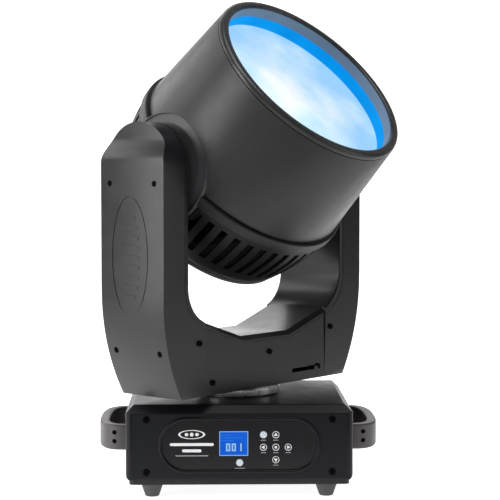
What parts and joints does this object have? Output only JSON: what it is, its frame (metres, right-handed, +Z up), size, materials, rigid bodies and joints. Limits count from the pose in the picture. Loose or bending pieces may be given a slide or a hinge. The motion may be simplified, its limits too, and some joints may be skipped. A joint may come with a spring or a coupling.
{
  "type": "moving head light",
  "caption": "Moving head wash light with a panning yoke, a tilting barrel with a large Fresnel lens, a vented rear and a base with a display, buttons and side handles.",
  "frame": {"origin": "on the pan axis at the underside of the base plate, in the middle of the four clamp holes", "axes": "+Z up along the pan axis; the front of the base, with its display, faces -Y"},
  "size_m": [0.3653, 0.3637, 0.5933],
  "materials": {
    "base_plastic": "satin black moulded",
    "yoke_plastic": "satin black moulded, fine texture",
    "cover_plastic": "satin charcoal moulded, fine texture",
    "collar_plastic": "matte black moulded",
    "barrel_plastic": "satin black moulded",
    "basket_plastic": "matte black moulded",
    "turret_plastic": "glossy dark grey",
    "handle_plastic": "satin grey-brown moulded",
    "lever_plastic": "black moulded",
    "panel_gloss": "glossy black film",
    "dark_button": "glossy black with white symbols",
    "white_button": "translucent white",
    "display_glass": "backlit blue display",
    "foot_rubber": "matte",
    "belt_rubber": "matte",
    "black_screw": "black oxide",
    "steel": "black powder coat",
    "frame_steel": "zinc plated",
    "sheet_metal": "folded sheet",
    "motor_steel": "black with bare end caps",
    "bearing_steel": "ground",
    "bright_steel": "polished",
    "alloy": "machined",
    "hub_alloy": "anodised grey",
    "cap_metal": "grey painted plate",
    "led_copper": "copper base",
    "board": "green solder mask",
    "socket_plastic": "blue insert in black body",
    "socket_metal": "nickel",
    "fan_plastic": "black moulded",
    "ring_glow": "lit blue diffuser",
    "lens_glass": "moulded Fresnel, lit from behind",
    "zoom_glass": "polished"
  },
  "bodies": {
    "base": {"base_plate": "steel", "base_shell": "base_plastic", "front_cover": "base_plastic", "rear_cover": "base_plastic", "control_panel": "panel_gloss", "display": "display_glass", "display_board": "board", "rubber_feet": "foot_rubber", "handle_left": "handle_plastic", "handle_right": "handle_plastic", "base_screws": "black_screw", "power_supply": "sheet_metal", "main_board": "board", "pan_motor": "motor_steel", "pan_belt": "belt_rubber", "pan_bearing": "bearing_steel", "power_sockets": "socket_plastic", "data_sockets": "socket_metal"},
    "yoke": {"yoke_turret": "turret_plastic", "pan_pulley": "alloy", "yoke_frame": "frame_steel", "arm_shell_left": "yoke_plastic", "arm_shell_right": "yoke_plastic", "arm_cover_left": "cover_plastic", "arm_cover_right": "cover_plastic", "bridge_front_cover": "yoke_plastic", "bridge_rear_cover": "yoke_plastic", "yoke_screws": "black_screw", "tilt_motor": "motor_steel", "tilt_belt": "belt_rubber", "tilt_bearings": "bearing_steel"},
    "head": {"head_frame": "collar_plastic", "barrel": "barrel_plastic", "front_bezel": "barrel_plastic", "light_ring": "ring_glow", "fresnel_lens": "lens_glass", "guide_rods": "bright_steel", "zoom_motor": "motor_steel", "led_engine": "led_copper", "heat_sink": "alloy", "rear_basket": "basket_plastic", "rear_cap": "cap_metal", "fan_frame": "fan_plastic", "tilt_hubs": "hub_alloy", "tilt_pulley": "alloy"},
    "pan_drive": {"pan_motor_pulley": "alloy"},
    "tilt_drive": {"tilt_motor_pulley": "alloy"},
    "zoom_carriage": {"zoom_carriage": "alloy", "zoom_lens": "zoom_glass"},
    "zoom_screw": {"zoom_screw": "bright_steel"},
    "fan_rotor": {"fan_rotor": "fan_plastic"},
    "pan_lock": {"pan_lock": "lever_plastic"},
    "tilt_lock": {"tilt_lock": "lever_plastic"},
    "mode_button": {"mode_button": "white_button"},
    "up_button": {"up_button": "dark_button"},
    "left_button": {"left_button": "dark_button"},
    "enter_button": {"enter_button": "dark_button"},
    "right_button": {"right_button": "dark_button"},
    "down_button": {"down_button": "dark_button"},
    "display_button": {"display_button": "white_button"}
  },
  "joints": [
    {"name": "pan", "type": "hinge", "parent": "base", "child": "yoke", "pos_m": [0, 0, 0], "axis": [0, 0, 1], "range_deg": [-318.6, 221.4]},
    {"name": "tilt", "type": "hinge", "parent": "yoke", "child": "head", "pos_m": [0, 0, 0.3763], "axis": [0.6613, 0.7501, 0], "range_deg": [-182.3, 87.7]},
    {"name": "pan_drive", "type": "hinge", "parent": "base", "child": "pan_drive", "pos_m": [0, 0.072, 0.06], "axis": [0, 0, 1], "range_deg": [-1660, 1155]},
    {"name": "tilt_drive", "type": "hinge", "parent": "yoke", "child": "tilt_drive", "pos_m": [-0.10548, -0.11964, 0.144], "axis": [0.6613, 0.7501, 0], "range_deg": [-812, 392]},
    {"name": "zoom", "type": "slide", "parent": "head", "child": "zoom_carriage", "axis": [0.5513, -0.486, 0.6782], "range_m": [0, 0.06]},
    {"name": "zoom_screw", "type": "hinge", "parent": "head", "child": "zoom_screw", "pos_m": [0.06826, -0.06018, 0.35141], "axis": [0.5513, -0.486, 0.6782], "range_deg": [-5, 1805]},
    {"name": "fan_spin", "type": "hinge", "parent": "head", "child": "fan_rotor", "pos_m": [-0.03859, 0.03402, 0.32883], "axis": [0.5513, -0.486, 0.6782], "continuous": true},
    {"name": "pan_lock_slide", "type": "slide", "parent": "yoke", "child": "pan_lock", "axis": [0.6613, 0.7501, 0], "range_m": [-0.034, 0]},
    {"name": "tilt_lock_slide", "type": "slide", "parent": "yoke", "child": "tilt_lock", "axis": [0, 0, 1], "range_m": [0, 0.025]},
    {"name": "mode_press", "type": "slide", "parent": "base", "child": "mode_button", "axis": [0, 1, 0], "range_m": [0, 0.0012], "stiffness_N_per_m": 400},
    {"name": "up_press", "type": "slide", "parent": "base", "child": "up_button", "axis": [0, 1, 0], "range_m": [0, 0.0012], "stiffness_N_per_m": 400},
    {"name": "left_press", "type": "slide", "parent": "base", "child": "left_button", "axis": [0, 1, 0], "range_m": [0, 0.0012], "stiffness_N_per_m": 400},
    {"name": "enter_press", "type": "slide", "parent": "base", "child": "enter_button", "axis": [0, 1, 0], "range_m": [0, 0.0012], "stiffness_N_per_m": 400},
    {"name": "right_press", "type": "slide", "parent": "base", "child": "right_button", "axis": [0, 1, 0], "range_m": [0, 0.0012], "stiffness_N_per_m": 400},
    {"name": "down_press", "type": "slide", "parent": "base", "child": "down_button", "axis": [0, 1, 0], "range_m": [0, 0.0012], "stiffness_N_per_m": 400},
    {"name": "display_press", "type": "slide", "parent": "base", "child": "display_button", "axis": [0, 1, 0], "range_m": [0, 0.0012], "stiffness_N_per_m": 400}
  ],
  "couplings": [
    {"joint": "pan_drive", "follows": "pan", "ratio": 5.2},
    {"joint": "tilt_drive", "follows": "tilt", "ratio": 4.4444},
    {"joint": "zoom_screw", "follows": "zoom", "rad_per_m": 523.6}
  ]
}
